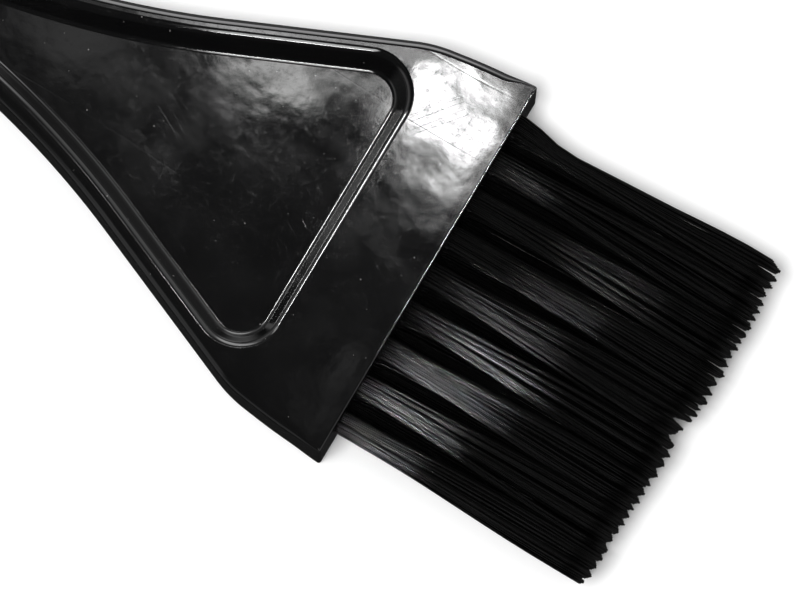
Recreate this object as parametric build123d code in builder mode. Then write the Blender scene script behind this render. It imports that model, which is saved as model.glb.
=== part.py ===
"""A bee brush: a flat moulded handle with a wide collar, and two staggered rows of bristle tufts.

Millimetres. +X runs along the brush from the tail of the handle to the bristle tips, +Z is the
thickness, and the brush lies on its flat back at z = 0. The origin is the centre of the bounding
box, on that plane. Distances named `behind` are measured from the collar's front face towards the
tail.
"""

import os
from collections import namedtuple

from build123d import *

# Overall sizes.
total_length = 217.0
bristle_length = 42.3  # free length, from the collar's front face to the tips
head_width = 60.0
head_thickness = 9.0
tail_thickness = 6.4

collar_x = total_length / 2 - bristle_length
handle_length = total_length - bristle_length
middle_z = head_thickness / 2

# Handle outline seen from above: half-widths at distances behind the collar's front face.
collar_bulge_behind = 8.0
collar_bulge_half_width = 29.4
shoulder_behind = 15.7
shoulder_half_width = 28.3
neck_behind = 69.3
neck_half_width = 5.1
grip_behind = 128.0
grip_half_width = 5.6
tail_half_width = 2.7
bulge_radius = 90.0
shoulder_radius = 20.0
neck_radius = 138.0
grip_radius = 400.0
tail_radius = 2.2

# Handle seen from the side: full thickness up to the taper, then thinner towards the tail.
taper_behind = 104.0
taper_radius = 160.0

# Rounded edges of the moulding.
outline_fillet = 1.3
front_fillet = 0.4

# The sunk panel in each face of the head: its rim's corners, in the same way as the outline.
panel_base_behind = 14.2
panel_base_half_width = 26.2
panel_waist_behind = 58.5
panel_waist_half_width = 7.0
panel_tip_behind = 82.0
panel_tip_half_width = 3.6
panel_corner_radius = 6.0
panel_waist_radius = 140.0
panel_tip_radius = 3.3
panel_depth = 3.4
panel_draft = 28.0
panel_rim_fillet = 1.3
panel_floor_fillet = 0.8

# Bristle tufts: two rows, the back row shifted by half a pitch.
tuft_pitch = 6.1
front_row_count = 9
back_row_count = 8
front_row_z = 6.1
back_row_z = 2.9
hole_diameter = 3.2
hole_depth = 9.0
tuft_clearance = 0.05
fold_radius = 1.0
tip_width = 5.8
tip_thickness = 4.0
tip_row_offset = 2.15  # from the middle plane to a row's centre at the tips

# Staple anchors: a plate across each fold, its ends bitten into the hole's walls.
anchor_width = 3.9
anchor_depth = 1.8
anchor_thickness = 0.3
anchor_behind = hole_depth - 1.2  # the plate's inner edge

Tuft = namedtuple("Tuft", "name y root_z tip_z")


def behind(distance):
    """X of a place that far behind the collar's front face."""
    return collar_x - distance


def across(distance, y, z):
    """A plane across the brush, facing the tips, centred on a tuft, with its own x along +Y."""
    return Plane(origin=(behind(distance), y, z), x_dir=(0, 1, 0), z_dir=(1, 0, 0))


def row_of_tufts(row_name, count, root_z, tip_z):
    """The tufts of one row, numbered along +Y, with their heights at the collar and at the tips."""
    first_y = -tuft_pitch * (count - 1) / 2
    row = []
    for index in range(count):
        row.append(Tuft(f"{row_name}_{index + 1}", first_y + index * tuft_pitch, root_z, tip_z))
    return row


front_row = row_of_tufts("front", front_row_count, front_row_z, middle_z + tip_row_offset)
back_row = row_of_tufts("back", back_row_count, back_row_z, middle_z - tip_row_offset)
tufts = front_row + back_row


def outline_sketch():
    """The handle's plan shape, on the resting plane."""
    with BuildSketch(Plane.XY) as outline:
        with BuildLine():
            side = FilletPolyline(
                (behind(0), head_width / 2),
                (behind(collar_bulge_behind), collar_bulge_half_width),
                (behind(shoulder_behind), shoulder_half_width),
                (behind(neck_behind), neck_half_width),
                (behind(grip_behind), grip_half_width),
                (behind(handle_length), tail_half_width),
                (behind(handle_length), 0),
                radius=(bulge_radius, shoulder_radius, neck_radius, grip_radius, tail_radius),
            )
            Line(side @ 1, (behind(0), 0))
            Line((behind(0), 0), side @ 0)
        make_face()
        mirror(about=Plane.XZ)
    return outline.sketch


def side_sketch():
    """The handle seen from the side, on the plane through its long axis."""
    side_plane = Plane(origin=(0, 0, middle_z), x_dir=(1, 0, 0), z_dir=(0, -1, 0))
    with BuildSketch(side_plane) as profile:
        with BuildLine():
            top = FilletPolyline(
                (behind(0), head_thickness / 2),
                (behind(taper_behind), head_thickness / 2),
                (behind(handle_length), tail_thickness / 2),
                radius=taper_radius,
            )
            Line(top @ 1, (behind(handle_length), 0))
            Line((behind(handle_length), 0), (behind(0), 0))
            Line((behind(0), 0), top @ 0)
        make_face()
        mirror(about=Plane.XZ)
    return profile.sketch


def panel_sketch(plane):
    """The rim of a sunk panel: a rounded triangle with its base beside the collar."""
    with BuildSketch(plane) as panel:
        with BuildLine():
            side = FilletPolyline(
                (behind(panel_base_behind), 0),
                (behind(panel_base_behind), panel_base_half_width),
                (behind(panel_waist_behind), panel_waist_half_width),
                (behind(panel_tip_behind), panel_tip_half_width),
                (behind(panel_tip_behind), 0),
                radius=(panel_corner_radius, panel_waist_radius, panel_tip_radius),
            )
            Line(side @ 1, side @ 0)
        make_face()
        mirror(about=Plane.XZ)
    return panel.sketch


def make_handle():
    """Head, collar and grip in one moulding, with a sunk panel in each face and the tuft holes."""
    with BuildPart() as handle:
        extrude(outline_sketch(), amount=head_thickness)
        extrude(side_sketch(), amount=head_width, both=True, mode=Mode.INTERSECT)
        front_face = handle.faces().sort_by(Axis.X)[-1]
        rims = handle.edges().filter_by(Axis.Z, reverse=True) - front_face.edges()
        fillet(rims, radius=outline_fillet)
        fillet(handle.faces().sort_by(Axis.X)[-1].edges(), radius=front_fillet)

        split(bisect_by=Plane.XY.offset(middle_z), keep=Keep.TOP)
        top_rim = panel_sketch(Plane.XY.offset(head_thickness))
        extrude(top_rim, amount=-panel_depth, taper=panel_draft, mode=Mode.SUBTRACT)
        panel_floor = handle.faces().filter_by(Axis.Z).sort_by(Axis.Z)[1]
        fillet(panel_floor.edges(), radius=panel_floor_fillet)
        top_face = handle.faces().filter_by(Axis.Z).sort_by(Axis.Z)[-1]
        fillet(top_face.inner_wires().edges(), radius=panel_rim_fillet)
        mirror(about=Plane.XY.offset(middle_z))

        for tuft in tufts:
            with BuildSketch(across(0, tuft.y, tuft.root_z)):
                Circle(hole_diameter / 2)
        extrude(amount=-hole_depth, mode=Mode.SUBTRACT)
        for tuft in tufts:
            add(anchor_solid(tuft), mode=Mode.SUBTRACT)
    return handle


def anchor_solid(tuft):
    """The small flat plate driven across a tuft's fold, wider than the hole it sits in."""
    with BuildPart(across(anchor_behind, tuft.y, tuft.root_z)) as plate:
        Box(anchor_width, anchor_thickness, anchor_depth, align=(Align.CENTER, Align.CENTER, Align.MIN))
    return plate.part


def make_tuft(tuft):
    """One bundle of filaments: folded double in its hole, and flaring from the collar to the tips."""
    with BuildPart() as bundle:
        with BuildSketch(across(hole_depth, tuft.y, tuft.root_z)):
            Circle(hole_diameter / 2 - tuft_clearance)
        extrude(amount=hole_depth)
        fillet(bundle.edges().sort_by(Axis.X)[0], radius=fold_radius)
        with BuildSketch(across(0, tuft.y, tuft.root_z)):
            Circle(hole_diameter / 2 - tuft_clearance)
        with BuildSketch(across(-bristle_length, tuft.y, tuft.tip_z)):
            Ellipse(tip_width / 2, tip_thickness / 2)
        loft()
        add(anchor_solid(tuft), mode=Mode.SUBTRACT)
    return bundle


def write_node(part, name):
    """Labels a finished piece and writes it as a STEP file of the same name."""
    part.label = name
    export_step(part, f"parts/{name}.step")


def main():
    os.makedirs("parts", exist_ok=True)
    write_node(make_handle().part, "handle")
    for tuft in tufts:
        write_node(make_tuft(tuft).part, f"tuft_{tuft.name}")
        write_node(anchor_solid(tuft), f"anchor_{tuft.name}")


main()
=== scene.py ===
"""A bee brush on a plain pale floor.

The handle is one glossy black moulding, the tufts are bundles of single nylon filaments, and the
staple anchors stay the CAD's own. Lengths in the shape code are millimetres in the part's frame,
and every mesh is written in metres.
"""

import math

import bpy
import numpy as np
from mathutils import Matrix, Vector
from mathutils.geometry import delaunay_2d_cdt


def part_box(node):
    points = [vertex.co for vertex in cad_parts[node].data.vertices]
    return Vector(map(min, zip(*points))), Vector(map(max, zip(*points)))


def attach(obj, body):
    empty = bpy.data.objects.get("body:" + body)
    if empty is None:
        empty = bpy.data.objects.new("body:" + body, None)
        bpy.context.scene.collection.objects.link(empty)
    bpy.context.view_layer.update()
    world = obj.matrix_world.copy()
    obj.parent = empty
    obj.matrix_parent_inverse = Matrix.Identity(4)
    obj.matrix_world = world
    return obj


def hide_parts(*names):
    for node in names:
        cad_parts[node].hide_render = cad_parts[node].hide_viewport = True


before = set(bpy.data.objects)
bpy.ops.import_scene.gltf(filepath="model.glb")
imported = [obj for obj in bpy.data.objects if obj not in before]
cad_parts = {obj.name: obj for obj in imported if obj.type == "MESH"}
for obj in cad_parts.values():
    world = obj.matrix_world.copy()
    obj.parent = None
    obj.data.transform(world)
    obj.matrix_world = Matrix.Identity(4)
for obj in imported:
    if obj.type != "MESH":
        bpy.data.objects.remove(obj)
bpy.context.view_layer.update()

MM = 0.001

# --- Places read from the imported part, in millimetres.

FRONT_ROW = [f"front_{i}" for i in range(1, 10)]
BACK_ROW = [f"back_{i}" for i in range(1, 9)]


def node_box(node):
    """Lowest and highest corner of a CAD node, in millimetres."""
    low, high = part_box(node)
    return np.array(low) / MM, np.array(high) / MM


handle_low, handle_high = node_box("handle")
COLLAR_X = handle_high[0]
HANDLE_LENGTH = handle_high[0] - handle_low[0]
THICKNESS = handle_high[2]
MIDDLE_Z = THICKNESS / 2
BRISTLE_LENGTH = node_box("tuft_front_1")[1][0] - COLLAR_X


def hole_centre(name):
    """Y and Z of the tuft hole that holds the anchor of that name."""
    low, high = node_box(f"anchor_{name}")
    return (low[1] + high[1]) / 2, (low[2] + high[2]) / 2


HOLES = {name: hole_centre(name) for name in FRONT_ROW + BACK_ROW}

# --- Sizes of the handle, in millimetres: the same outline as the CAD handle's.

OUTLINE_CORNERS = [  # distance behind the collar's front face, half-width, radius of the turn
    (0.0, 30.0, 0.4),
    (8.0, 29.4, 90.0),
    (15.7, 28.3, 20.0),
    (69.3, 5.1, 138.0),
    (128.0, 5.6, 400.0),
    (HANDLE_LENGTH, 2.7, 2.2),
]
PANEL_CORNERS = [  # the same for the sunk panel's rim
    (14.2, 26.2, 6.0),
    (58.5, 7.0, 140.0),
    (82.0, 3.6, 3.3),
]
TAPER_BEHIND = 104.0
TAPER_RADIUS = 160.0
TAIL_THICKNESS = 6.4
SIDE_FILLET = 1.3
FRONT_FILLET = 0.4
FILLET_BLEND_START = 1.0  # from here the front edge's fillet grows to the side's,
FILLET_BLEND = 4.0  # over this length

PANEL_DEPTH = 3.4
WALL_SLOPE = math.radians(62.0)  # from the flat, down into the panel
RIM_FILLET = 1.3
FLOOR_FILLET = 0.8

HOLE_RADIUS = 1.6
HOLE_LIP = 0.15
HOLE_DEPTH = 9.0

OUTLINE_STEP = 0.7  # spacing of the points along an outline
FACE_GRID = 0.75  # and of the points that fill a face
FACE_GRID_MARGIN = 0.6  # its clearance from the outline, as a share of the spacing
FRONT_GRID = 1.2  # the same between the tuft holes
FRONT_GRID_MARGIN = 0.4  # in millimetres
EDGE_PARTS = 6  # rows of faces in an outer edge's fillet
PANEL_EDGE_PARTS = 5  # in each fillet of the panel
SIDE_PARTS = 6  # up the side wall
LIP_PARTS = 3  # in the lip of a tuft hole
HOLE_SIDES = 28

SINK_DEPTH = 0.012  # moulding shrinks over each tuft hole
SINK_HALF_WIDTH = 2.4
SINK_CENTRE_BEHIND = 5.6
SINK_HALF_LENGTH = 4.6
FRONT_FALL = 0.015  # the collar's faces fall away towards its front edge
FRONT_FALL_LENGTH = 3.4
WAVE_SHARE = 0.45  # height of the faces' waves, as a share of the sink's depth
FLOOR_SINK = 0.12  # the panel's floor sinks in its middle
FLOOR_SINK_HALF_WIDTH = 13.0
FLOOR_SINK_BEHIND = 34.0
FLOOR_SINK_HALF_LENGTH = 16.0
FLOOR_WAVES = 0.02
SLOPE_GAP = 0.05  # the faces' slopes are taken over twice this length


# --- Shape helpers.


def smooth_step(value):
    value = np.clip(value, 0, 1)
    return value * value * (3 - 2 * value)


def rounded_path(corners, step):
    """Points and normals along straight runs joined by tangent arcs.

    corners are (x, y, radius) with radius 0 at the two ends. The normals point to the right of the
    path, and half_loop goes round a shape so that its normals point outwards.
    """
    points, normals = [], []

    def add(point, direction):
        points.append(point)
        normals.append(np.array([direction[1], -direction[0]]))

    def add_run(start, end, direction):
        count = max(1, math.ceil(np.linalg.norm(end - start) / step))
        for index in range(count):
            add(start + (end - start) * index / count, direction)

    places = [np.array(corner[:2], float) for corner in corners]
    here = places[0]
    for index in range(1, len(corners) - 1):
        into = places[index] - places[index - 1]
        out = places[index + 1] - places[index]
        into = into / np.linalg.norm(into)
        out = out / np.linalg.norm(out)
        turn = math.atan2(into[0] * out[1] - into[1] * out[0], into @ out)
        radius = corners[index][2]
        tangent_length = radius * math.tan(abs(turn) / 2)
        arc_start = places[index] - into * tangent_length
        add_run(here, arc_start, into)
        side = math.copysign(1, turn)
        centre = arc_start + side * radius * np.array([-into[1], into[0]])
        count = max(6, math.ceil(abs(turn) * radius / step))
        for part in range(count):
            angle = turn * part / count
            cosine, sine = math.cos(angle), math.sin(angle)
            direction = np.array(
                [into[0] * cosine - into[1] * sine, into[0] * sine + into[1] * cosine]
            )
            add(centre - side * radius * np.array([-direction[1], direction[0]]), direction)
        here = places[index] + out * tangent_length
    last = places[-1] - here
    direction = last / np.linalg.norm(last)
    add_run(here, places[-1], direction)
    add(places[-1], direction)
    return np.array(points), np.array(normals)


def mirrored_loop(points, normals):
    """A closed loop from a half path that starts and ends on the long axis."""
    flip = np.array([1, -1])
    return [np.vstack([half, half[-2:0:-1] * flip]) for half in (points, normals)]


def half_loop(corners, step):
    """The closed loop of a shape given by the corners of its +Y half, and its outward normals."""
    ends = [(COLLAR_X - corners[0][0], 0.0, 0.0)]
    ends += [(COLLAR_X - behind, half_width, radius) for behind, half_width, radius in corners]
    ends += [(COLLAR_X - corners[-1][0], 0.0, 0.0)]
    return mirrored_loop(*rounded_path(ends, step))


def inside_loop(points, loop):
    """Which of the points lie inside a closed loop."""
    x, y = points[:, 0][:, None], points[:, 1][:, None]
    x0, y0 = loop[:, 0][None], loop[:, 1][None]
    x1, y1 = np.roll(loop[:, 0], -1)[None], np.roll(loop[:, 1], -1)[None]
    crosses = (y0 > y) != (y1 > y)
    with np.errstate(divide="ignore", invalid="ignore"):
        at = x0 + (y - y0) * (x1 - x0) / (y1 - y0)
    return (np.sum(crosses & (x < at), axis=1) % 2) == 1


def distance_to(points, loop):
    """Distance from each point to the nearest sample of a loop."""
    gaps = points[:, None, :] - loop[None, :, :]
    return np.sqrt((gaps**2).sum(2)).min(1)


def filling_points(outer, holes, spacing, margin):
    """A staggered grid of points inside outer and outside the holes, clear of all of them."""
    low, high = outer.min(0), outer.max(0)
    rows = np.arange(low[1], high[1], spacing * math.sqrt(3) / 2)
    grid = []
    for index, y in enumerate(rows):
        x = np.arange(low[0] + spacing * 0.5 * (index % 2), high[0], spacing)
        grid.append(np.column_stack([x, np.full(len(x), y)]))
    grid = np.vstack(grid)
    keep = inside_loop(grid, outer)
    for hole in holes:
        keep &= ~inside_loop(grid, hole)
    grid = grid[keep]
    for loop in [outer] + list(holes):
        grid = grid[distance_to(grid, loop) > margin]
    return grid


def fill_between(outer, holes, extra):
    """Triangles over outer less its holes.

    Their rows are indices into the points of outer, the holes and extra, in turn.
    """
    coords = np.vstack([outer] + list(holes) + [extra])
    edges, start = [], 0
    for loop in [outer] + list(holes):
        count = len(loop)
        edges += [(start + i, start + (i + 1) % count) for i in range(count)]
        start += count
    _, _, faces, sources, _, _ = delaunay_2d_cdt([Vector(c) for c in coords], edges, [], 1, 1e-6)
    triangles = np.array([[sources[v][0] for v in face] for face in faces])
    centres = coords[triangles].mean(1)
    keep = inside_loop(centres, outer)
    for hole in holes:
        keep &= ~inside_loop(centres, hole)
    return triangles[keep]


class Shell:
    """Vertices with their own normals, and the faces between them."""

    def __init__(self):
        self.points, self.normals, self.faces, self.count = [], [], [], 0

    def add(self, points, normals):
        """Adds vertices and returns their indices."""
        self.points.append(points)
        self.normals.append(normals / np.linalg.norm(normals, axis=1)[:, None])
        indices = np.arange(self.count, self.count + len(points))
        self.count += len(points)
        return indices

    def band(self, first, second):
        """Quads between two closed loops of the same length."""
        following = np.roll(np.arange(len(first)), -1)
        quads = np.column_stack([first, first[following], second[following], second])
        self.faces += quads.tolist()

    def patch(self, triangles, indices, flip=False):
        """Triangles of a filled region, whose rows index into indices."""
        rows = indices[triangles]
        self.faces += (rows[:, ::-1] if flip else rows).tolist()

    def mesh(self, name):
        mesh = bpy.data.meshes.new(name)
        mesh.from_pydata((np.vstack(self.points) * MM).tolist(), [], self.faces)
        mesh.shade_smooth()
        mesh.normals_split_custom_set_from_vertices(np.vstack(self.normals).tolist())
        mesh.update()
        return mesh


# A lamp that is only seen mirrored lights one of these groups of pieces.
LIT_SLOTS = ("handle_plastic", "bristle_nylon")
GROUPS = {slot: bpy.data.collections.new(f"lit_{slot}") for slot in LIT_SLOTS}


def add_piece(name, mesh, material, slot, *nodes):
    """Puts a mesh in the scene as a piece of the brush that stands for those CAD nodes."""
    piece = bpy.data.objects.new(name, mesh)
    bpy.context.scene.collection.objects.link(piece)
    GROUPS[slot].objects.link(piece)
    mesh.materials.append(material)
    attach(piece, "root")
    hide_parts(*nodes)


# --- The handle.


def half_thickness(x):
    """Half the handle's thickness at x: full over the head, thinner towards the tail."""
    behind = COLLAR_X - x
    slope = (THICKNESS - TAIL_THICKNESS) / 2 / (HANDLE_LENGTH - TAPER_BEHIND)
    start = TAPER_BEHIND - TAPER_RADIUS * math.tan(math.atan(slope) / 2)
    end = TAPER_BEHIND + TAPER_RADIUS * math.tan(math.atan(slope) / 2)
    on_arc = (np.clip(behind, start, end) - start) ** 2 / (2 * TAPER_RADIUS)
    past = np.clip(behind - end, 0, None) * slope
    return THICKNESS / 2 - on_arc - past


def swell(x, y, row):
    """How far a face of the moulding stands off its nominal plane, in millimetres."""
    behind = COLLAR_X - x
    sinks = np.zeros_like(x)
    for name in row:
        across = (y - HOLES[name][0]) / SINK_HALF_WIDTH
        along = (behind - SINK_CENTRE_BEHIND) / SINK_HALF_LENGTH
        sinks -= np.exp(-(across**2) - along**4)
    fall = -smooth_step(1 - behind / FRONT_FALL_LENGTH) ** 2
    phase_x = 0.31 * x + 0.9 * np.sin(0.23 * y)
    phase_y = 0.27 * y + 1.1 * np.sin(0.19 * x)
    waves = 0.5 * np.sin(phase_x) * np.cos(phase_y)
    return SINK_DEPTH * (sinks + WAVE_SHARE * waves) + FRONT_FALL * fall


def floor_swell(x, y, row):
    """The same for a panel's floor, which sinks a little in its middle."""
    behind = COLLAR_X - x
    across = y / FLOOR_SINK_HALF_WIDTH
    along = (behind - FLOOR_SINK_BEHIND) / FLOOR_SINK_HALF_LENGTH
    middle = np.exp(-(across**2) - along**2)
    waves = np.sin(0.22 * x + 0.8 * np.sin(0.17 * y)) * np.cos(0.21 * y)
    return -FLOOR_SINK * middle + FLOOR_WAVES * waves


def face_points(plan, drop, tilt, lean, side, row, swelling, amount):
    """Vertices and normals of a face seen from above (side 1) or from below (side -1).

    plan holds x and y, drop how far each point lies under the face's plane, tilt the angle of the
    surface there and lean the direction it faces as it tilts. amount scales the swelling, which
    is swell, floor_swell or a mixture of them over that row of tufts.
    """
    x, y = plan[:, 0], plan[:, 1]

    def height(px, py):
        return half_thickness(px) + amount * swelling(px, py, row)

    z = height(x, y) - drop
    slope_x = (height(x + SLOPE_GAP, y) - height(x - SLOPE_GAP, y)) / (2 * SLOPE_GAP)
    slope_y = (height(x, y + SLOPE_GAP) - height(x, y - SLOPE_GAP)) / (2 * SLOPE_GAP)
    up = np.cos(tilt)
    normal_x = lean[:, 0] * np.sin(tilt) - slope_x * up
    normal_y = lean[:, 1] * np.sin(tilt) - slope_y * up
    normals = np.column_stack([normal_x, normal_y, side * up])
    return np.column_stack([x, y, MIDDLE_Z + side * z]), normals


def full(value, count):
    return np.full(count, float(value))


def make_handle(material):
    """Both faces with their panels, the side wall, the flat front and the tuft holes."""
    outline, outward = half_loop(OUTLINE_CORNERS, OUTLINE_STEP)
    rim, rim_outward = half_loop(PANEL_CORNERS, OUTLINE_STEP)
    count = len(outline)
    behind = COLLAR_X - outline[:, 0]
    blend = smooth_step((behind - FILLET_BLEND_START) / FILLET_BLEND)
    fillet = FRONT_FILLET + (SIDE_FILLET - FRONT_FILLET) * blend
    shell = Shell()

    def band_between(first, second, side):
        if side > 0:
            shell.band(first, second)
        else:
            shell.band(second, first)

    def add_face(side, row):
        """One face with its outer fillet and its panel. Returns its vertices at the side wall."""
        loops = []
        for part in range(EDGE_PARTS + 1):
            angle = math.pi / 2 * part / EDGE_PARTS
            plan = outline - outward * (fillet * (1 - math.cos(angle)))[:, None]
            tilt = full(math.pi / 2 - angle, count)
            drop = fillet * (1 - math.sin(angle))
            points, normals = face_points(
                plan, drop, tilt, outward, side, row, swell, math.sin(angle)
            )
            loops.append((shell.add(points, normals), plan))
        for (first, _), (second, _) in zip(loops, loops[1:]):
            band_between(first, second, side)
        outer_indices, outer_plan = loops[-1]

        wall_run = PANEL_DEPTH / math.tan(WALL_SLOPE)
        rim_tangent = RIM_FILLET * math.tan(WALL_SLOPE / 2)
        floor_tangent = FLOOR_FILLET * math.tan(WALL_SLOPE / 2)
        section = []  # distance inwards from the rim, drop, tilt
        for part in range(PANEL_EDGE_PARTS + 1):
            angle = WALL_SLOPE * part / PANEL_EDGE_PARTS
            run = -rim_tangent + RIM_FILLET * math.sin(angle)
            section.append((run, RIM_FILLET * (1 - math.cos(angle)), angle))
        for part in range(PANEL_EDGE_PARTS + 1):
            angle = WALL_SLOPE * (1 - part / PANEL_EDGE_PARTS)
            run = wall_run + floor_tangent - FLOOR_FILLET * math.sin(angle)
            section.append((run, PANEL_DEPTH - FLOOR_FILLET * (1 - math.cos(angle)), angle))
        rim_loops = []
        for run, drop, tilt in section:
            plan = rim - rim_outward * run
            drops, tilts = full(drop, len(plan)), full(tilt, len(plan))
            share = drop / PANEL_DEPTH

            def swelling(x, y, row, share=share):
                return (1 - share) * swell(x, y, row) + share * floor_swell(x, y, row)

            points, normals = face_points(
                plan, drops, tilts, -rim_outward, side, row, swelling, 1
            )
            rim_loops.append((shell.add(points, normals), plan))
        for (first, _), (second, _) in zip(rim_loops, rim_loops[1:]):
            band_between(first, second, side)

        rim_indices, rim_plan = rim_loops[0]
        margin = FACE_GRID * FACE_GRID_MARGIN
        extra = filling_points(outer_plan, [rim_plan], FACE_GRID, margin)
        flat = np.zeros(len(extra))
        points, normals = face_points(extra, flat, flat, extra * 0, side, row, swell, 1)
        extra_indices = shell.add(points, normals)
        triangles = fill_between(outer_plan, [rim_plan], extra)
        indices = np.concatenate([outer_indices, rim_indices, extra_indices])
        shell.patch(triangles, indices, side < 0)

        floor_indices, floor_plan = rim_loops[-1]
        extra = filling_points(floor_plan, [], FACE_GRID, margin)
        flat = np.zeros(len(extra))
        points, normals = face_points(
            extra, flat + PANEL_DEPTH, flat, extra * 0, side, row, floor_swell, 1
        )
        extra_indices = shell.add(points, normals)
        triangles = fill_between(floor_plan, [], extra)
        shell.patch(triangles, np.concatenate([floor_indices, extra_indices]), side < 0)
        return loops[0][0]

    top_edge = add_face(1, FRONT_ROW)
    bottom_edge = add_face(-1, BACK_ROW)

    # The side wall between the two faces' fillets, everywhere but across the flat front.
    heights = half_thickness(outline[:, 0]) - fillet
    levels = [top_edge]
    for part in range(1, SIDE_PARTS):
        z = MIDDLE_Z + heights * (1 - 2 * part / SIDE_PARTS)
        points = np.column_stack([outline, z])
        levels.append(shell.add(points, np.column_stack([outward, np.zeros(count)])))
    levels.append(bottom_edge)
    front = outward[:, 0] > 0.9999  # where the outline faces straight forwards
    following = np.roll(np.arange(count), -1)
    spans_front = front & front[following]
    for upper, lower in zip(levels, levels[1:]):
        for index in np.nonzero(~spans_front)[0]:
            after = following[index]
            shell.faces.append([upper[index], lower[index], lower[after], upper[after]])

    # The flat front, with the tuft holes.
    order = np.nonzero(front)[0]
    order = order[np.argsort(outline[order, 1])]
    inner = slice(1, -1)
    ring = np.concatenate(
        [
            levels[-1][order],
            [level[order[-1]] for level in levels[::-1][inner]],
            levels[0][order][::-1],
            [level[order[0]] for level in levels[inner]],
        ]
    )
    so_far = np.vstack(shell.points)
    border = so_far[ring][:, 1:]
    turn = np.linspace(0, 2 * math.pi, HOLE_SIDES, endpoint=False)
    circle = np.column_stack([np.cos(turn), np.sin(turn)])
    mouths, mouth_indices = [], []
    for y, z in HOLES.values():
        centre = np.array([y, z])
        previous = None
        for part in range(LIP_PARTS + 1):
            angle = math.pi / 2 * part / LIP_PARTS
            radius = HOLE_RADIUS + HOLE_LIP * (1 - math.sin(angle))
            plan = centre + circle * radius
            x = full(COLLAR_X - HOLE_LIP * (1 - math.cos(angle)), HOLE_SIDES)
            forward = full(math.cos(angle), HOLE_SIDES)
            normals = np.column_stack([forward, -circle * math.sin(angle)])
            indices = shell.add(np.column_stack([x, plan]), normals)
            if previous is None:
                mouths.append(plan)
                mouth_indices.append(indices)
            else:
                shell.band(previous, indices)
            previous = indices
        for depth in (HOLE_DEPTH / 2, HOLE_DEPTH):
            x = full(COLLAR_X - depth, HOLE_SIDES)
            normals = np.column_stack([full(0, HOLE_SIDES), -circle])
            indices = shell.add(np.column_stack([x, centre + circle * HOLE_RADIUS]), normals)
            shell.band(previous, indices)
            previous = indices
        shell.faces.append(previous.tolist())
    extra = filling_points(border, mouths, FRONT_GRID, FRONT_GRID_MARGIN)
    forward = np.tile([1.0, 0, 0], (len(extra), 1))
    extra_indices = shell.add(np.column_stack([full(COLLAR_X, len(extra)), extra]), forward)
    triangles = fill_between(border, mouths, extra)
    shell.patch(triangles, np.concatenate([ring] + mouth_indices + [extra_indices]))
    mesh = shell.mesh("handle_moulding")
    add_piece("handle_moulding", mesh, material, "handle_plastic", "handle")


# --- The tufts.

FILAMENTS = 125
FILAMENT_RADIUS = 0.115
FILAMENT_SIDES = 5
FILAMENT_RINGS = 14
ROOT_DEPTH = 6.0  # how far a filament runs into its hole
ROOT_HALF_WIDTH = 1.5
PACKING_WIDTH = 1.1  # a bundle is packed this much wider than thick
PACKING_UNEVENNESS = 0.03
COLLAR_HALF_WIDTHS = (1.55, 2.2)  # of a tuft in the front row and in the back row
OPENING_LENGTH = 1.2  # a tuft opens from its hole to its collar width over this length
TIP_HALF_WIDTHS = (3.05, 4.3)
SPREAD_REACH = 0.85  # and to its tip width by this share of its length
TIP_HALF_THICKNESS = 1.95
TIP_MARGIN = 0.05  # from the outermost filaments to the CAD tuft's face
LUMPS = (5, 2)  # strands across and through a tuft
LUMP_WIDTHS = (0.7, 1.3)  # to each other
LUMP_GATHER = (0.15, 0.45)  # how far the filaments draw to the middle of their strand
LUMP_SHIFT = 0.07  # and how the strands differ sideways, in arch and in height
LUMP_ARCH = 0.12
LUMP_LIFT = 0.3
LOOSE_CALM = 0.3  # the back row and the two outermost tufts gather and shift by this share
BOW = 0.4  # bristles arch up this far in the middle of their length
FIELD_LEAN = 0.9  # and lean this far towards -Y at their tips
TUFT_LEAN = 0.12  # each tuft by its own amount besides
STRAY_SHARE = 0.04  # of the filaments wander this many times more than the rest
STRAY_WANDER = 4.0
WANDER_Y = 0.09
WANDER_Z = 0.05
FILAMENT_WIDTHS = (0.85, 1.1)
EDGE_START = 21.5  # past this the bristles at the field's two sides draw inwards
UPPER_DRAW = 1.7  # the +Y side by this much
UPPER_DRAW_WIDTH = 4.5
UPPER_DRAW_LENGTH = 9.0  # from the collar
UPPER_EASE = 0.4  # and it gives this share of it back nearer the tips
UPPER_EASE_START = 22.0
UPPER_EASE_LENGTH = 18.0
LOWER_DRAW = 1.0  # the -Y side by this much, evenly to the tips
LOWER_DRAW_WIDTH = 5.0

STEP_Y = -1.2  # bristles on the -Y side of this are worn shorter
TEETH_REACH = 32.0  # the points are laid out this far to both sides
TOOTH_WIDTHS = (1.0, 1.8)
TOOTH_DEPTHS = (0.5, 0.9)
TOOTH_UNEVENNESS = 0.4
TOOTH_PULL = 0.3  # share of the way that the tips draw together into their points
TOOTH_PULL_START = 0.94  # from this share of the bristles' length
TOOTH_PULL_LENGTH = 0.06
TIP_UNEVENNESS = 0.08
NICKS = ((-0.3, 0.6, 2.4), (-2.5, 0.9, 1.4))  # place, half-width and depth, beside a stray point
CORNER_START = 24.8  # past this the tips are rounded off
CORNER_CUT = 1.3
CORNER_WIDTH = 1.5
TIP_SLANT = (0.10, 0.18)  # the points shift along and across the brush with height


def settled(x, y):
    """Y of a filament that an even field would hold at x, y.

    x is counted from the collar. The field leans, and its two sides draw in.
    """
    reach = x / BRISTLE_LENGTH
    ease = 1 - UPPER_EASE * smooth_step((x - UPPER_EASE_START) / UPPER_EASE_LENGTH)
    upper = smooth_step((y - EDGE_START) / UPPER_DRAW_WIDTH)
    upper = upper * smooth_step(x / UPPER_DRAW_LENGTH) * ease
    lower = smooth_step((-EDGE_START - y) / LOWER_DRAW_WIDTH) * reach
    return y - FIELD_LEAN * reach**1.5 - UPPER_DRAW * upper + LOWER_DRAW * lower


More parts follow.
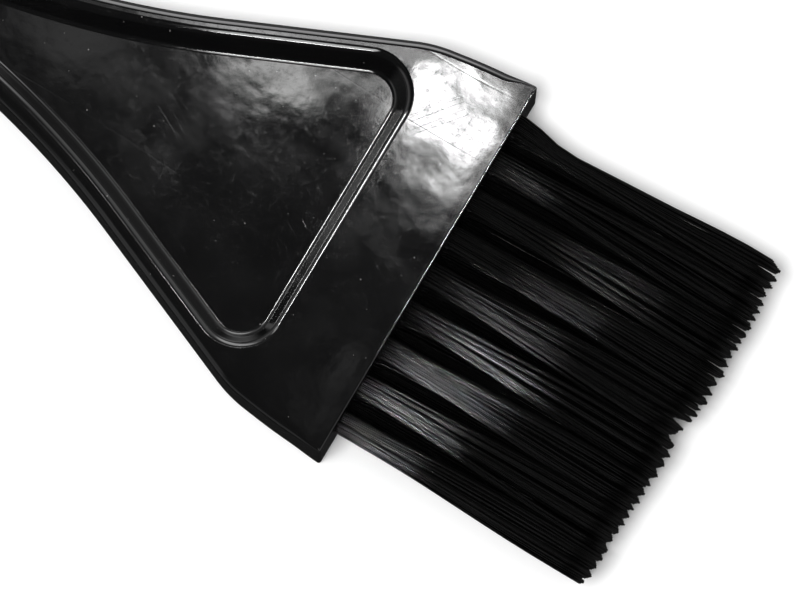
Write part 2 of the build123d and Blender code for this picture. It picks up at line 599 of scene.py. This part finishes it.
def trimmed_length(y):
    """Length of the bristles whose tips lie at y: a slight arc at +Y and a straight slant at -Y."""
    upper = BRISTLE_LENGTH + 0.2 - 0.002 * (y - 10) ** 2
    lower = BRISTLE_LENGTH - 0.3 + 0.06 * (y + 3)
    corner = smooth_step((y - CORNER_START) / CORNER_WIDTH)
    length = np.where(y > STEP_Y, upper, lower) - CORNER_CUT * corner
    for place, half_width, depth in NICKS:
        length = length - depth * np.exp(-(((y - place) / half_width) ** 2))
    return length


def make_teeth(rng):
    """Edges, depths and shortfalls of the points that the bristles gather into at their tips."""
    edges = [-TEETH_REACH]
    while edges[-1] < TEETH_REACH:
        edges.append(edges[-1] + rng.uniform(*TOOTH_WIDTHS))
    edges = np.array(edges)
    count = len(edges) - 1
    depths = rng.uniform(*TOOTH_DEPTHS, count)
    shortfalls = rng.uniform(0, TOOTH_UNEVENNESS, count)
    return edges, depths, shortfalls


def make_tuft(name, material, teeth, rng):
    """One bundle of filaments: packed in its hole, spreading in strands, ragged at the tips."""
    y_hole, z_hole = HOLES[name]
    low, high = node_box(f"tuft_{name}")
    in_back = name.startswith("back")
    if in_back:
        z_tip = low[2] + TIP_HALF_THICKNESS + TIP_MARGIN
    else:
        z_tip = high[2] - TIP_HALF_THICKNESS - TIP_MARGIN
    collar_half_width, tip_half_width = COLLAR_HALF_WIDTHS[in_back], TIP_HALF_WIDTHS[in_back]

    # Where each filament sits in the bundle, -1 to 1 across and through it.
    index = np.arange(FILAMENTS)
    radius = np.sqrt((index + 0.5) / FILAMENTS)
    angle = index * math.pi * (3 - math.sqrt(5)) + rng.uniform(0, 2 * math.pi)
    u = PACKING_WIDTH * radius * np.cos(angle) + rng.normal(0, PACKING_UNEVENNESS, FILAMENTS)
    v = radius * np.sin(angle) + rng.normal(0, PACKING_UNEVENNESS, FILAMENTS)
    u, v = np.clip(u, -1, 1), np.clip(v, -1, 1)

    # Strands: each gathers towards its own middle and arches by its own amount.
    lump_edges = np.cumsum(np.concatenate([[0], rng.uniform(*LUMP_WIDTHS, LUMPS[0])]))
    lump_edges = lump_edges / lump_edges[-1] * 2 - 1
    lump_u = np.clip(np.searchsorted(lump_edges, u) - 1, 0, LUMPS[0] - 1)
    lump_v = np.clip(np.floor((v + 1) / 2 * LUMPS[1]), 0, LUMPS[1] - 1).astype(int)
    lump = lump_u * LUMPS[1] + lump_v
    lumps = LUMPS[0] * LUMPS[1]
    middle_u = (lump_edges[lump_u] + lump_edges[lump_u + 1]) / 2
    loose = in_back or name in (FRONT_ROW[0], FRONT_ROW[-1])
    calm = LOOSE_CALM if loose else 1.0
    gather = rng.uniform(*LUMP_GATHER, lumps)[lump] * calm
    sideways = rng.normal(0, LUMP_SHIFT, lumps)[lump] * calm
    lump_bow = BOW + rng.normal(0, LUMP_ARCH, lumps)[lump]
    lump_lift = rng.normal(0, LUMP_LIFT, lumps)[lump]

    # Where each filament's tip lies, which point it belongs to, and how long that makes it.
    lean = rng.normal(0, TUFT_LEAN)
    tip_y = y_hole + lean + tip_half_width * (u + (middle_u - u) * gather + sideways)
    tip_y = settled(full(BRISTLE_LENGTH, FILAMENTS), tip_y)
    edges, depths, shortfalls = teeth
    above_middle = z_tip + TIP_HALF_THICKNESS * v - MIDDLE_Z
    seen_y = tip_y + TIP_SLANT[1] * above_middle
    tooth = np.searchsorted(edges, seen_y) - 1
    tooth_middle = (edges[tooth] + edges[tooth + 1]) / 2
    off_middle = np.abs(seen_y - tooth_middle) / (edges[tooth + 1] - edges[tooth]) * 2
    length = trimmed_length(seen_y) - depths[tooth] * off_middle - shortfalls[tooth]
    length = length + TIP_SLANT[0] * above_middle
    length = length - np.abs(rng.normal(0, TIP_UNEVENNESS, FILAMENTS))

    # Where each filament runs, at steps of its length.
    along = np.concatenate([[-ROOT_DEPTH, -0.2], np.linspace(0.02, 1, FILAMENT_RINGS - 2) ** 1.15])
    x = np.where(along[None] < 0, along[None], length[:, None] * along[None])
    reach = np.clip(x / BRISTLE_LENGTH, 0, 1)
    arch = np.sin(math.pi * reach)
    opening = smooth_step((x + 0.2) / OPENING_LENGTH)
    spread = smooth_step(reach / SPREAD_REACH)
    half_width = ROOT_HALF_WIDTH + (collar_half_width - ROOT_HALF_WIDTH) * opening
    half_width = half_width + (tip_half_width - collar_half_width) * spread
    thickening = 0.4 * opening + 0.6 * reach
    half_height = ROOT_HALF_WIDTH + (TIP_HALF_THICKNESS - ROOT_HALF_WIDTH) * thickening
    strays = (rng.random(FILAMENTS) < STRAY_SHARE) & (np.abs(u) < 0.6)
    stray = np.where(strays, STRAY_WANDER, 1.0)
    wander_y = (rng.normal(0, WANDER_Y, FILAMENTS) * stray * (1 - 0.8 * u**4))[:, None] * arch
    wander_z = (rng.normal(0, WANDER_Z, FILAMENTS) * stray)[:, None] * arch
    grouped = smooth_step(reach / 0.5)
    across = u[:, None] + ((middle_u - u) * gather + sideways)[:, None] * grouped
    y = settled(np.maximum(x, 0), y_hole + lean * reach**1.5 + wander_y + half_width * across)
    pull = smooth_step((reach - TOOTH_PULL_START) / TOOTH_PULL_LENGTH)
    y = y + ((tooth_middle - seen_y) * TOOTH_PULL)[:, None] * pull
    rise = (z_tip - z_hole) * reach + (lump_bow[:, None] + lump_lift[:, None] * grouped) * arch
    z = z_hole + rise + wander_z + half_height * v[:, None]

    # The filaments' skins.
    turn = np.linspace(0, 2 * math.pi, FILAMENT_SIDES, endpoint=False)
    thick = FILAMENT_RADIUS * rng.uniform(*FILAMENT_WIDTHS, (FILAMENTS, 1, 1))
    points = np.empty((FILAMENTS, FILAMENT_RINGS, FILAMENT_SIDES, 3))
    points[..., 0] = COLLAR_X + x[:, :, None]
    points[..., 1] = y[:, :, None] + thick * np.cos(turn)
    points[..., 2] = z[:, :, None] + thick * np.sin(turn)

    base = np.arange(FILAMENTS * FILAMENT_RINGS * FILAMENT_SIDES)
    base = base.reshape(FILAMENTS, FILAMENT_RINGS, FILAMENT_SIDES)
    following = np.roll(base, -1, axis=2)
    quads = np.stack([base[:, :-1], following[:, :-1], following[:, 1:], base[:, 1:]], axis=-1)
    faces = quads.reshape(-1, 4).tolist()
    faces += base[:, -1, :].tolist()
    faces += base[:, 0, ::-1].tolist()
    mesh = bpy.data.meshes.new(f"filaments_{name}")
    mesh.from_pydata((points.reshape(-1, 3) * MM).tolist(), [], faces)
    mesh.shade_smooth()
    add_piece(f"filaments_{name}", mesh, material, "bristle_nylon", f"tuft_{name}")


# --- Materials.

SCRATCH_TURNS = ((0.5, 3.0), (-0.9, 17.0))  # direction and offset of each set
FLOW_LINES = 4.0  # the more, the closer together
DUST_STRENGTH = 0.35
DUST_COLOUR = (0.35, 0.34, 0.33, 1)
PLASTIC_COLOURS = ((0.0015, 0.0015, 0.0016, 1), (0.003, 0.003, 0.0031, 1))
NYLON_COLOURS = ((0.0006, 0.0006, 0.0006, 1), (0.0016, 0.0016, 0.0016, 1))
BRASS_COLOURS = ((0.62, 0.48, 0.24, 1), (0.75, 0.62, 0.36, 1))
FLOOR_COLOUR = (0.9, 0.9, 0.9, 1)


def add_node(tree, kind, values=None, **settings):
    """A new node with those settings. Its inputs are linked to sockets or set to numbers."""
    node = tree.nodes.new(kind)
    for key, value in settings.items():
        setattr(node, key, value)
    for key, value in (values or {}).items():
        if isinstance(value, bpy.types.NodeSocket):
            tree.links.new(value, node.inputs[key])
        else:
            node.inputs[key].default_value = value
    return node


class Nodes:
    """A material's node tree, with its Principled shader."""

    def __init__(self, name):
        self.material = bpy.data.materials.new(name)
        self.material.use_nodes = True
        self.tree = self.material.node_tree
        self.shader = self.tree.nodes["Principled BSDF"]

    def add(self, kind, values=None, **settings):
        return add_node(self.tree, kind, values, **settings)

    def place(self, scale=(1, 1, 1), turn=0.0, offset=0.0):
        """The object's own coordinates in millimetres, turned about Z, stretched and shifted."""
        vector = self.add("ShaderNodeTexCoord").outputs["Object"]
        if turn:
            values = {"Vector": vector, "Rotation": (0, 0, turn)}
            vector = self.add("ShaderNodeMapping", values).outputs[0]
        scale = tuple(factor / MM for factor in scale)
        values = {"Vector": vector, "Scale": scale, "Location": (offset, offset, offset)}
        return self.add("ShaderNodeMapping", values).outputs[0]

    def noise(self, vector, scale, detail=2.0, roughness=0.5):
        values = {"Vector": vector, "Scale": scale, "Detail": detail, "Roughness": roughness}
        return self.add("ShaderNodeTexNoise", values).outputs["Fac"]

    def ramp(self, value, low, high, to_low, to_high):
        """to_low where value is at low, to_high where it is at high, and even between them."""
        values = {
            "Value": value,
            "From Min": low,
            "From Max": high,
            "To Min": to_low,
            "To Max": to_high,
        }
        return self.add("ShaderNodeMapRange", values).outputs["Result"]

    def maths(self, operation, first, second=None):
        values = {0: first}
        if second is not None:
            values[1] = second
        return self.add("ShaderNodeMath", values, operation=operation).outputs[0]

    def mix(self, factor, first, second):
        """The first colour where factor is 0, and the second where it is 1."""
        values = {"Factor": factor, "A": first, "B": second}
        return self.add("ShaderNodeMix", values, data_type="RGBA").outputs["Result"]

    def dots(self, vector, scale, radius, rarity):
        """Round specks, one in a cell here and there: 1 inside a speck and 0 outside."""
        values = {"Vector": vector, "Scale": scale}
        cells = self.add("ShaderNodeTexVoronoi", values, voronoi_dimensions="2D")
        inside = self.ramp(cells.outputs["Distance"], radius * 0.5, radius, 1.0, 0.0)
        chance = self.add("ShaderNodeSeparateColor", {0: cells.outputs["Color"]}).outputs[0]
        return self.maths("MULTIPLY", inside, self.maths("GREATER_THAN", chance, rarity))

    def bump(self, height, distance_mm, strength=1.0, normal=None):
        values = {"Height": height, "Distance": distance_mm * MM, "Strength": strength}
        if normal is not None:
            values["Normal"] = normal
        return self.add("ShaderNodeBump", values).outputs["Normal"]

    def link(self, socket, name):
        self.tree.links.new(socket, self.shader.inputs[name])


def moulded_plastic():
    """Glossy black plastic: slight orange peel, handling haze, dust, scratches and flow lines."""
    n = Nodes("moulded_plastic")
    here = n.place()
    n.shader.inputs["IOR"].default_value = 1.5

    # Relief: soft peel, a fine grain, a few hairline scratches and the flow lines of the moulding.
    peel = n.noise(here, 0.25, 2.0, 0.45)
    grain = n.noise(here, 2.6, 3.0, 0.6)
    normal = n.bump(peel, 0.02)
    normal = n.bump(grain, 0.001, normal=normal)
    for turn, offset in SCRATCH_TURNS:
        streaks = n.noise(n.place((0.015, 0.6, 0.1), turn, offset), 1.0, 0.0)
        line = n.ramp(n.maths("ABSOLUTE", n.maths("SUBTRACT", streaks, 0.5)), 0.0, 0.006, 1.0, 0.0)
        gate = n.ramp(n.noise(n.place((1, 1, 1), 0, offset), 0.13, 0.0), 0.70, 0.74, 0.0, 1.0)
        normal = n.bump(n.maths("MULTIPLY", line, gate), -0.001, normal=normal)
    bend = n.noise(n.place((0.008, 0.03, 0.03)), 1.0, 0.0)
    flow = n.maths("PINGPONG", n.maths("MULTIPLY", bend, FLOW_LINES), 0.5)
    flow_line = n.ramp(flow, 0.0, 0.012, 1.0, 0.0)
    normal = n.bump(flow_line, -0.001, normal=normal)
    n.link(normal, "Normal")

    # Gloss: handled patches are duller, and fine specks break the shine up.
    patches = n.noise(here, 0.12, 4.0, 0.6)
    rough = n.ramp(patches, 0.35, 0.65, 0.055, 0.10)
    specks = n.ramp(n.noise(here, 1.4, 4.0, 0.7), 0.54, 0.70, 0.0, 0.06)
    n.link(n.maths("ADD", rough, specks), "Roughness")

    # Colour: pale specks of dust in two sizes, sparse, on the black.
    black = n.mix(patches, *PLASTIC_COLOURS)
    dust = n.maths("MAXIMUM", n.dots(here, 0.22, 0.03, 0.9), n.dots(here, 0.6, 0.045, 0.96))
    dusty = n.mix(n.maths("MULTIPLY", dust, DUST_STRENGTH), black, DUST_COLOUR)
    n.link(dusty, "Base Color")
    return n.material


def nylon():
    """Black nylon filament: satin, each one a little different."""
    n = Nodes("black_nylon")
    n.shader.inputs["IOR"].default_value = 1.53
    n.shader.inputs["Specular IOR Level"].default_value = 0.14
    each = n.add("ShaderNodeNewGeometry").outputs["Random Per Island"]
    along = n.noise(n.place((0.25, 2.0, 2.0)), 1.0, 2.0)
    n.link(n.ramp(n.maths("ADD", each, along), 0.3, 1.5, 0.22, 0.36), "Roughness")
    n.link(n.mix(each, *NYLON_COLOURS), "Base Color")
    return n.material


def staple_metal():
    """Brass-plated flat wire, drawn along its length."""
    n = Nodes("staple_metal")
    n.shader.inputs["Metallic"].default_value = 1.0
    grain = n.noise(n.place((1.5, 1.5, 14.0)), 2.0, 3.0)
    n.link(n.ramp(grain, 0.3, 0.7, 0.22, 0.42), "Roughness")
    n.link(n.mix(grain, *BRASS_COLOURS), "Base Color")
    n.link(n.bump(grain, 0.01), "Normal")
    return n.material


def pale_floor():
    n = Nodes("pale_floor")
    n.shader.inputs["Roughness"].default_value = 0.9
    n.shader.inputs["Specular IOR Level"].default_value = 0.2
    n.shader.inputs["Base Color"].default_value = FLOOR_COLOUR
    return n.material


# --- The stage: floor, lights and camera.

CAMERA_TURN = math.radians(30.3)  # the brush's long axis, clockwise in the picture
CAMERA_TILT = math.radians(12.0)  # from straight down, towards the bottom of the picture
CAMERA_ROLL = math.radians(-3.0)  # turns that lean towards the left of the picture
CAMERA_DISTANCE = 1.1
CAMERA_LENS_PER_METRE = 324.0  # keeps the brush's size in the picture at any distance
CAMERA_AIM = np.array([COLLAR_X - 2.05, -4.45, 4.0]) * MM

FLOOR_Z = -0.0002
FLOOR_HALF_WIDTH = 3.0

# Brightness of the room by the height of the direction, from -1 straight down to 1 straight up.
DARK_SIDE = [(-1, 0.02), (-0.7, 0.02), (-0.5, 0.3), (-0.12, 0.3), (0.02, 0.06), (1, 0.05)]
BRIGHT_SIDE = [
    (-1, 0.02),
    (-0.7, 0.02),
    (-0.5, 0.3),
    (0.0, 0.5),
    (0.45, 0.6),
    (0.7, 0.5),
    (0.92, 0.06),
]
ENDS = [(-1, 0.02), (-0.75, 0.02), (-0.5, 0.4), (0.0, 0.6), (0.35, 1.0), (0.75, 0.06), (1, 0.05)]
SIDES_BLEND = (-0.3, 0.5)  # from the dark to the bright side, by the direction's Y
ENDS_BLEND = (0.4, 0.65)  # and from the sides to the ends, by its X either way

# The lamps that light the floor: place to the right and up in the picture and in height, size in
# metres, and power. They aren't seen mirrored.
SOFT_LAMPS = [
    ("key", (-0.6, -0.6, 2.35), 1.0, 55),
    ("overhead", (0, 0, 2.0), 2.0, 16),
]

# The lamps that are only seen mirrored. Each one's place on the brush is given behind the collar,
# across and in height, in millimetres.
FRONT_ROW_TOP = 7.8  # height of the uppermost filaments
BRISTLE_RISE = 0.024  # their slope from root to tip
PANEL_FLOOR = THICKNESS - PANEL_DEPTH
RIM_TURN = 23.4  # the panel's long rim to the brush's axis, in degrees
GLINT_DISTANCE = 0.35
GLINT_PATCH_SCALE = 3.0
GLINTS = [  # place, size of the reflection in millimetres, radiance, patchiness and turn
    ("glint_back", (11.6, 21.2, THICKNESS), (8, 12), 70, 1.3, 0.0),
    ("glint_middle", (4.8, 20.3, THICKNESS), (9, 7), 60, 1.3, 0.0),
    ("glint_front", (3.9, 14.4, THICKNESS), (5.5, 5.5), 32, 0.8, 0.0),
    ("glow_collar", (4.5, 21.5, THICKNESS), (24, 32), 3.8, 0.3, 0.0),
    ("glow_panel", (35.0, 12.0, PANEL_FLOOR), (15, 10), 11, 0.3, 0.0),
    ("glow_waist", (62.0, 5.0, PANEL_FLOOR), (30, 16), 0.7, 0.3, 0.0),
    ("glow_low", (2.0, -20.0, THICKNESS), (7, 18), 0.4, 0.3, 0.0),
    ("glow_strip", (34.0, 20.0, THICKNESS), (52, 10), 9.0, 0.3, RIM_TURN),
]
GLOWS = [  # place, azimuth and tilt faced there, size in metres, radiance, turn and slot lit
    ("glow_low_rim", (36, -16, THICKNESS), (67, 30), (0.3, 0.45), 0.6, 0.0, "handle_plastic"),
    ("glow_top_edge", (26, 22, THICKNESS), (115, 22), (0.24, 0.4), 5.0, 0.0, "handle_plastic"),
    ("glow_rim", (30, 19, THICKNESS), (-67, 22), (0.06, 0.26), 11.0, RIM_TURN, "handle_plastic"),
    ("glow_bristles", (-16, 0, FRONT_ROW_TOP), (-90, 27), (0.3, 0.15), 4.0, 0.0, "bristle_nylon"),
    ("glow_base", (14.5, 11, THICKNESS), (180, 22), (0.22, 0.05), 5.0, 0.0, "handle_plastic"),
]
SHEEN_DISTANCE = 0.15
SHEEN_LAMP_RADIUS = 0.002
SHEEN_TURN = math.radians(27)  # the spots for the bristles stand to their -Y side
SHEEN_LEAN = 0.012  # follows the field's lean
SHEEN_SHIFT = 0.8  # from a tuft's middle towards -Y
SHEEN_HALF_WIDTH = 2.0
SHEENS = [  # along the tuft, half-length and power, from front_1 on
    (6, 9, 4.0),
    (8, 10, 8.5),
    (10, 12, 5.6),
    (13, 12, 7.2),
    (13, 11, 2.9),
    (18, 9, 1.9),
    (22, 10, 1.7),
    (5, 6, 0.9),
]
EDGE_DISTANCE = 0.5
EDGES = [  # place, azimuth and tilt faced there, lit radius in millimetres, power, lamp radius
    ("edge_front", (0, 14, THICKNESS), (0, 25), 10, 30, 0.03),
    ("edge_rim", (26, 21, THICKNESS), (-67, 28), 12, 60, 0.1),
    ("edge_base", (14.5, 10, THICKNESS), (180, 25), 15, 30, 0.07),
    ("edge_base_low", (14.5, -10, THICKNESS), (180, 25), 14, 14, 0.07),
    ("edge_corner", (18, -21, THICKNESS), (120, 25), 6, 14, 0.07),
]

picture_right = Vector((math.cos(CAMERA_TURN), math.sin(CAMERA_TURN), 0))
picture_up = Vector((-math.sin(CAMERA_TURN), math.cos(CAMERA_TURN), 0))


def look_from(obj, place, target, up):
    """Puts a camera or lamp at place, facing target."""
    back = (place - target).normalized()
    right = up.cross(back).normalized()
    rotation = Matrix((right, back.cross(right), back)).transposed()
    obj.matrix_world = Matrix.Translation(place) @ rotation.to_4x4()


def make_camera():
    data = bpy.data.cameras.new("camera")
    data.lens = CAMERA_LENS_PER_METRE * CAMERA_DISTANCE
    data.sensor_width = 36
    data.clip_start = 0.01
    camera = bpy.data.objects.new("camera", data)
    bpy.context.scene.collection.objects.link(camera)
    aim = Vector(CAMERA_AIM)
    lean = picture_right * math.sin(CAMERA_ROLL) - picture_up * math.cos(CAMERA_ROLL)
    away = Vector((0, 0, math.cos(CAMERA_TILT))) + lean * math.sin(CAMERA_TILT)
    look_from(camera, aim + away * CAMERA_DISTANCE, aim, picture_up)
    bpy.context.scene.camera = camera


def picture_place(right, up, height):
    """A place given by picture directions from the camera's aim and by height, in metres."""
    return Vector(CAMERA_AIM) + picture_right * right + picture_up * up + Vector((0, 0, height))


def brush_place(behind, across, height):
    """A place on the brush, in metres."""
    return Vector((COLLAR_X - behind, across, height)) * MM


def facing(azimuth, tilt):
    """The direction that far round from +X and that far from straight up, in degrees."""
    azimuth, tilt = math.radians(azimuth), math.radians(tilt)
    return math.cos(azimuth) * math.sin(tilt), math.sin(azimuth) * math.sin(tilt), math.cos(tilt)


def towards_level(spot):
    """The direction that a level face at spot mirrors to the camera."""
    ray = (spot - bpy.context.scene.camera.matrix_world.translation).normalized()
    ray.z = -ray.z
    return ray


def towards_mirrored(spot, normal):
    """The direction that a surface at spot facing normal mirrors to the camera."""
    seen = (bpy.context.scene.camera.matrix_world.translation - spot).normalized()
    normal = Vector(normal).normalized()
    return normal * (2 * normal.dot(seen)) - seen


def add_lamp(name, place, target, size, energy, hidden_from, turn=0.0):
    """A rectangular lamp facing target, that the camera and one other kind of ray don't meet.

    turn swings its long side away from the brush's axis, in degrees.
    """
    data = bpy.data.lights.new(name, "AREA")
    data.shape = "RECTANGLE"
    data.size, data.size_y = size
    data.energy = energy
    lamp = bpy.data.objects.new(name, data)
    bpy.context.scene.collection.objects.link(lamp)
    turn = math.radians(turn)
    look_from(lamp, place, target, Vector((-math.sin(turn), math.cos(turn), 0)))
    for kind in ("camera", hidden_from):
        setattr(lamp, f"visible_{kind}", False)
    return lamp


def soften(lamp, patchiness):
    """Fades a lamp's brightness towards its edges and breaks it into patches."""
    lamp.data.use_nodes = True
    tree = lamp.data.node_tree

    def maths(operation, first, second):
        values = {0: first, 1: second}
        return add_node(tree, "ShaderNodeMath", values, operation=operation).outputs[0]

    place = add_node(tree, "ShaderNodeNewGeometry").outputs["Parametric"]
    from_centre = {0: place, 1: (0.5, 0.5, 0)}
    off = add_node(tree, "ShaderNodeVectorMath", from_centre, operation="SUBTRACT").outputs[0]
    length = add_node(tree, "ShaderNodeVectorMath", {0: off}, operation="LENGTH").outputs["Value"]
    patches = {"Vector": place, "Scale": GLINT_PATCH_SCALE, "Detail": 3.0}
    noise = add_node(tree, "ShaderNodeTexNoise", patches).outputs["Fac"]
    push = maths("MULTIPLY", maths("SUBTRACT", noise, 0.5), patchiness)
    fade = {"Value": maths("ADD", length, push), "From Min": 0.5, "From Max": 0.25}
    fade = add_node(tree, "ShaderNodeMapRange", fade, interpolation_type="SMOOTHSTEP")
    tree.links.new(fade.outputs[0], tree.nodes["Emission"].inputs["Strength"])


def add_glow(name, spot, towards, size, radiance, patchiness, turn, lit):
    """A soft lamp in that direction from spot, only seen mirrored. size is in metres."""
    place = spot + towards * GLINT_DISTANCE
    energy = radiance * math.pi * size[0] * size[1]
    lamp = add_lamp(name, place, spot, size, energy, "diffuse", turn)
    lamp.light_linking.receiver_collection = GROUPS[lit]
    soften(lamp, patchiness)


def add_spot(name, place, normal, radius, power, lamp_radius, distance, lit, stretch=1.0):
    """A narrow spot that a surface facing normal mirrors to the camera there.

    radius is the lit circle's, in millimetres, lamp_radius and distance are in metres, and stretch
    lengthens the circle along the brush. A spot's cone can't be narrower than one degree.
    """
    spot = brush_place(*place)
    data = bpy.data.lights.new(name, "SPOT")
    data.energy = power
    data.spot_size = 2 * math.atan(radius * MM / distance)
    data.spot_blend = 1.0
    data.shadow_soft_size = lamp_radius
    lamp = bpy.data.objects.new(name, data)
    bpy.context.scene.collection.objects.link(lamp)
    look_from(lamp, spot + towards_mirrored(spot, normal) * distance, spot, Vector((1, 0, 0)))
    lamp.matrix_world = lamp.matrix_world @ Matrix.Diagonal((1, stretch, 1, 1))
    lamp.visible_camera = False
    lamp.visible_diffuse = False
    lamp.light_linking.receiver_collection = GROUPS[lit]


def add_sheen(name, tuft_y, along, half_length, power):
    """A spot from the -Y side for one tuft's bristles, that far along them from the collar."""
    arch_angle = math.pi * along / BRISTLE_LENGTH
    slope = BOW * math.pi / BRISTLE_LENGTH * math.cos(arch_angle) + BRISTLE_RISE
    normal = (-slope * math.cos(SHEEN_TURN), -math.sin(SHEEN_TURN), math.cos(SHEEN_TURN))
    place = (-along, tuft_y - SHEEN_LEAN * along - SHEEN_SHIFT, FRONT_ROW_TOP)
    stretch = half_length / SHEEN_HALF_WIDTH
    sizes = (SHEEN_HALF_WIDTH, power, SHEEN_LAMP_RADIUS, SHEEN_DISTANCE)
    add_spot(name, place, normal, *sizes, "bristle_nylon", stretch)


def make_world():
    """A dim room: dark above and below, brighter walls, most of all at +Y and past both ends."""
    world = bpy.data.worlds.new("studio")
    world.use_nodes = True
    tree = world.node_tree
    direction = add_node(tree, "ShaderNodeTexCoord").outputs["Generated"]
    split = add_node(tree, "ShaderNodeSeparateXYZ", {0: direction})
    level = {"Value": split.outputs["Z"], "From Min": -1}
    height = add_node(tree, "ShaderNodeMapRange", level).outputs[0]

    def ramp(stops):
        node = add_node(tree, "ShaderNodeValToRGB", {0: height})
        node.color_ramp.interpolation = "EASE"
        while len(node.color_ramp.elements) < len(stops):
            node.color_ramp.elements.new(0.5)
        for element, (level, brightness) in zip(node.color_ramp.elements, stops):
            element.position = (level + 1) / 2
            element.color = (brightness, brightness, brightness, 1)
        return node.outputs[0]

    def blend(value, ends, first, second):
        """first where value is below the two ends, second where it is above them."""
        share = {"Value": value, "From Min": ends[0], "From Max": ends[1]}
        share = add_node(tree, "ShaderNodeMapRange", share, interpolation_type="SMOOTHSTEP")
        values = {"Factor": share.outputs[0], "A": first, "B": second}
        return add_node(tree, "ShaderNodeMix", values, data_type="RGBA").outputs["Result"]

    sides = blend(split.outputs["Y"], SIDES_BLEND, ramp(DARK_SIDE), ramp(BRIGHT_SIDE))
    endwise = add_node(tree, "ShaderNodeMath", {0: split.outputs["X"]}, operation="ABSOLUTE")
    room = blend(endwise.outputs[0], ENDS_BLEND, sides, ramp(ENDS))
    tree.links.new(room, tree.nodes["Background"].inputs["Color"])
    bpy.context.scene.world = world


def make_floor():
    mesh = bpy.data.meshes.new("floor")
    signs = ((-1, -1), (1, -1), (1, 1), (-1, 1))
    corners = [(x * FLOOR_HALF_WIDTH, y * FLOOR_HALF_WIDTH, FLOOR_Z) for x, y in signs]
    mesh.from_pydata(corners, [], [(0, 1, 2, 3)])
    mesh.materials.append(pale_floor())
    floor = bpy.data.objects.new("floor", mesh)
    bpy.context.scene.collection.objects.link(floor)
    floor.visible_glossy = False


def make_lamps():
    for name, place, size, power in SOFT_LAMPS:
        add_lamp(name, picture_place(*place), Vector(CAMERA_AIM), (size, size), power, "glossy")
    spread = MM * (1 + GLINT_DISTANCE / CAMERA_DISTANCE)
    for name, place, size, radiance, patchiness, turn in GLINTS:
        spot = brush_place(*place)
        size = (size[0] * spread, size[1] * spread)
        towards = towards_level(spot)
        add_glow(name, spot, towards, size, radiance, patchiness, turn, "handle_plastic")
    for name, place, (azimuth, tilt), size, radiance, turn, lit in GLOWS:
        spot = brush_place(*place)
        towards = towards_mirrored(spot, facing(azimuth, tilt))
        add_glow(name, spot, towards, size, radiance, 0.0, turn, lit)
    for index, (along, half_length, power) in enumerate(SHEENS):
        tuft_y = HOLES[FRONT_ROW[index]][0]
        add_sheen(f"sheen_{index + 1}", tuft_y, along, half_length, power)
    for name, place, (azimuth, tilt), radius, power, lamp_radius in EDGES:
        sizes = (radius, power, lamp_radius, EDGE_DISTANCE)
        add_spot(name, place, facing(azimuth, tilt), *sizes, "handle_plastic")


bpy.context.scene.view_settings.view_transform = "Standard"
make_camera()
make_floor()
make_world()
make_lamps()

plastic = moulded_plastic()
filament = nylon()
metal = staple_metal()

make_handle(plastic)
rng = np.random.default_rng(7)
teeth = make_teeth(rng)
for tuft_name in FRONT_ROW + BACK_ROW:
    make_tuft(tuft_name, filament, teeth, rng)
for anchor_name in FRONT_ROW + BACK_ROW:
    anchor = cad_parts[f"anchor_{anchor_name}"]
    anchor.data.materials.clear()
    anchor.data.materials.append(metal)
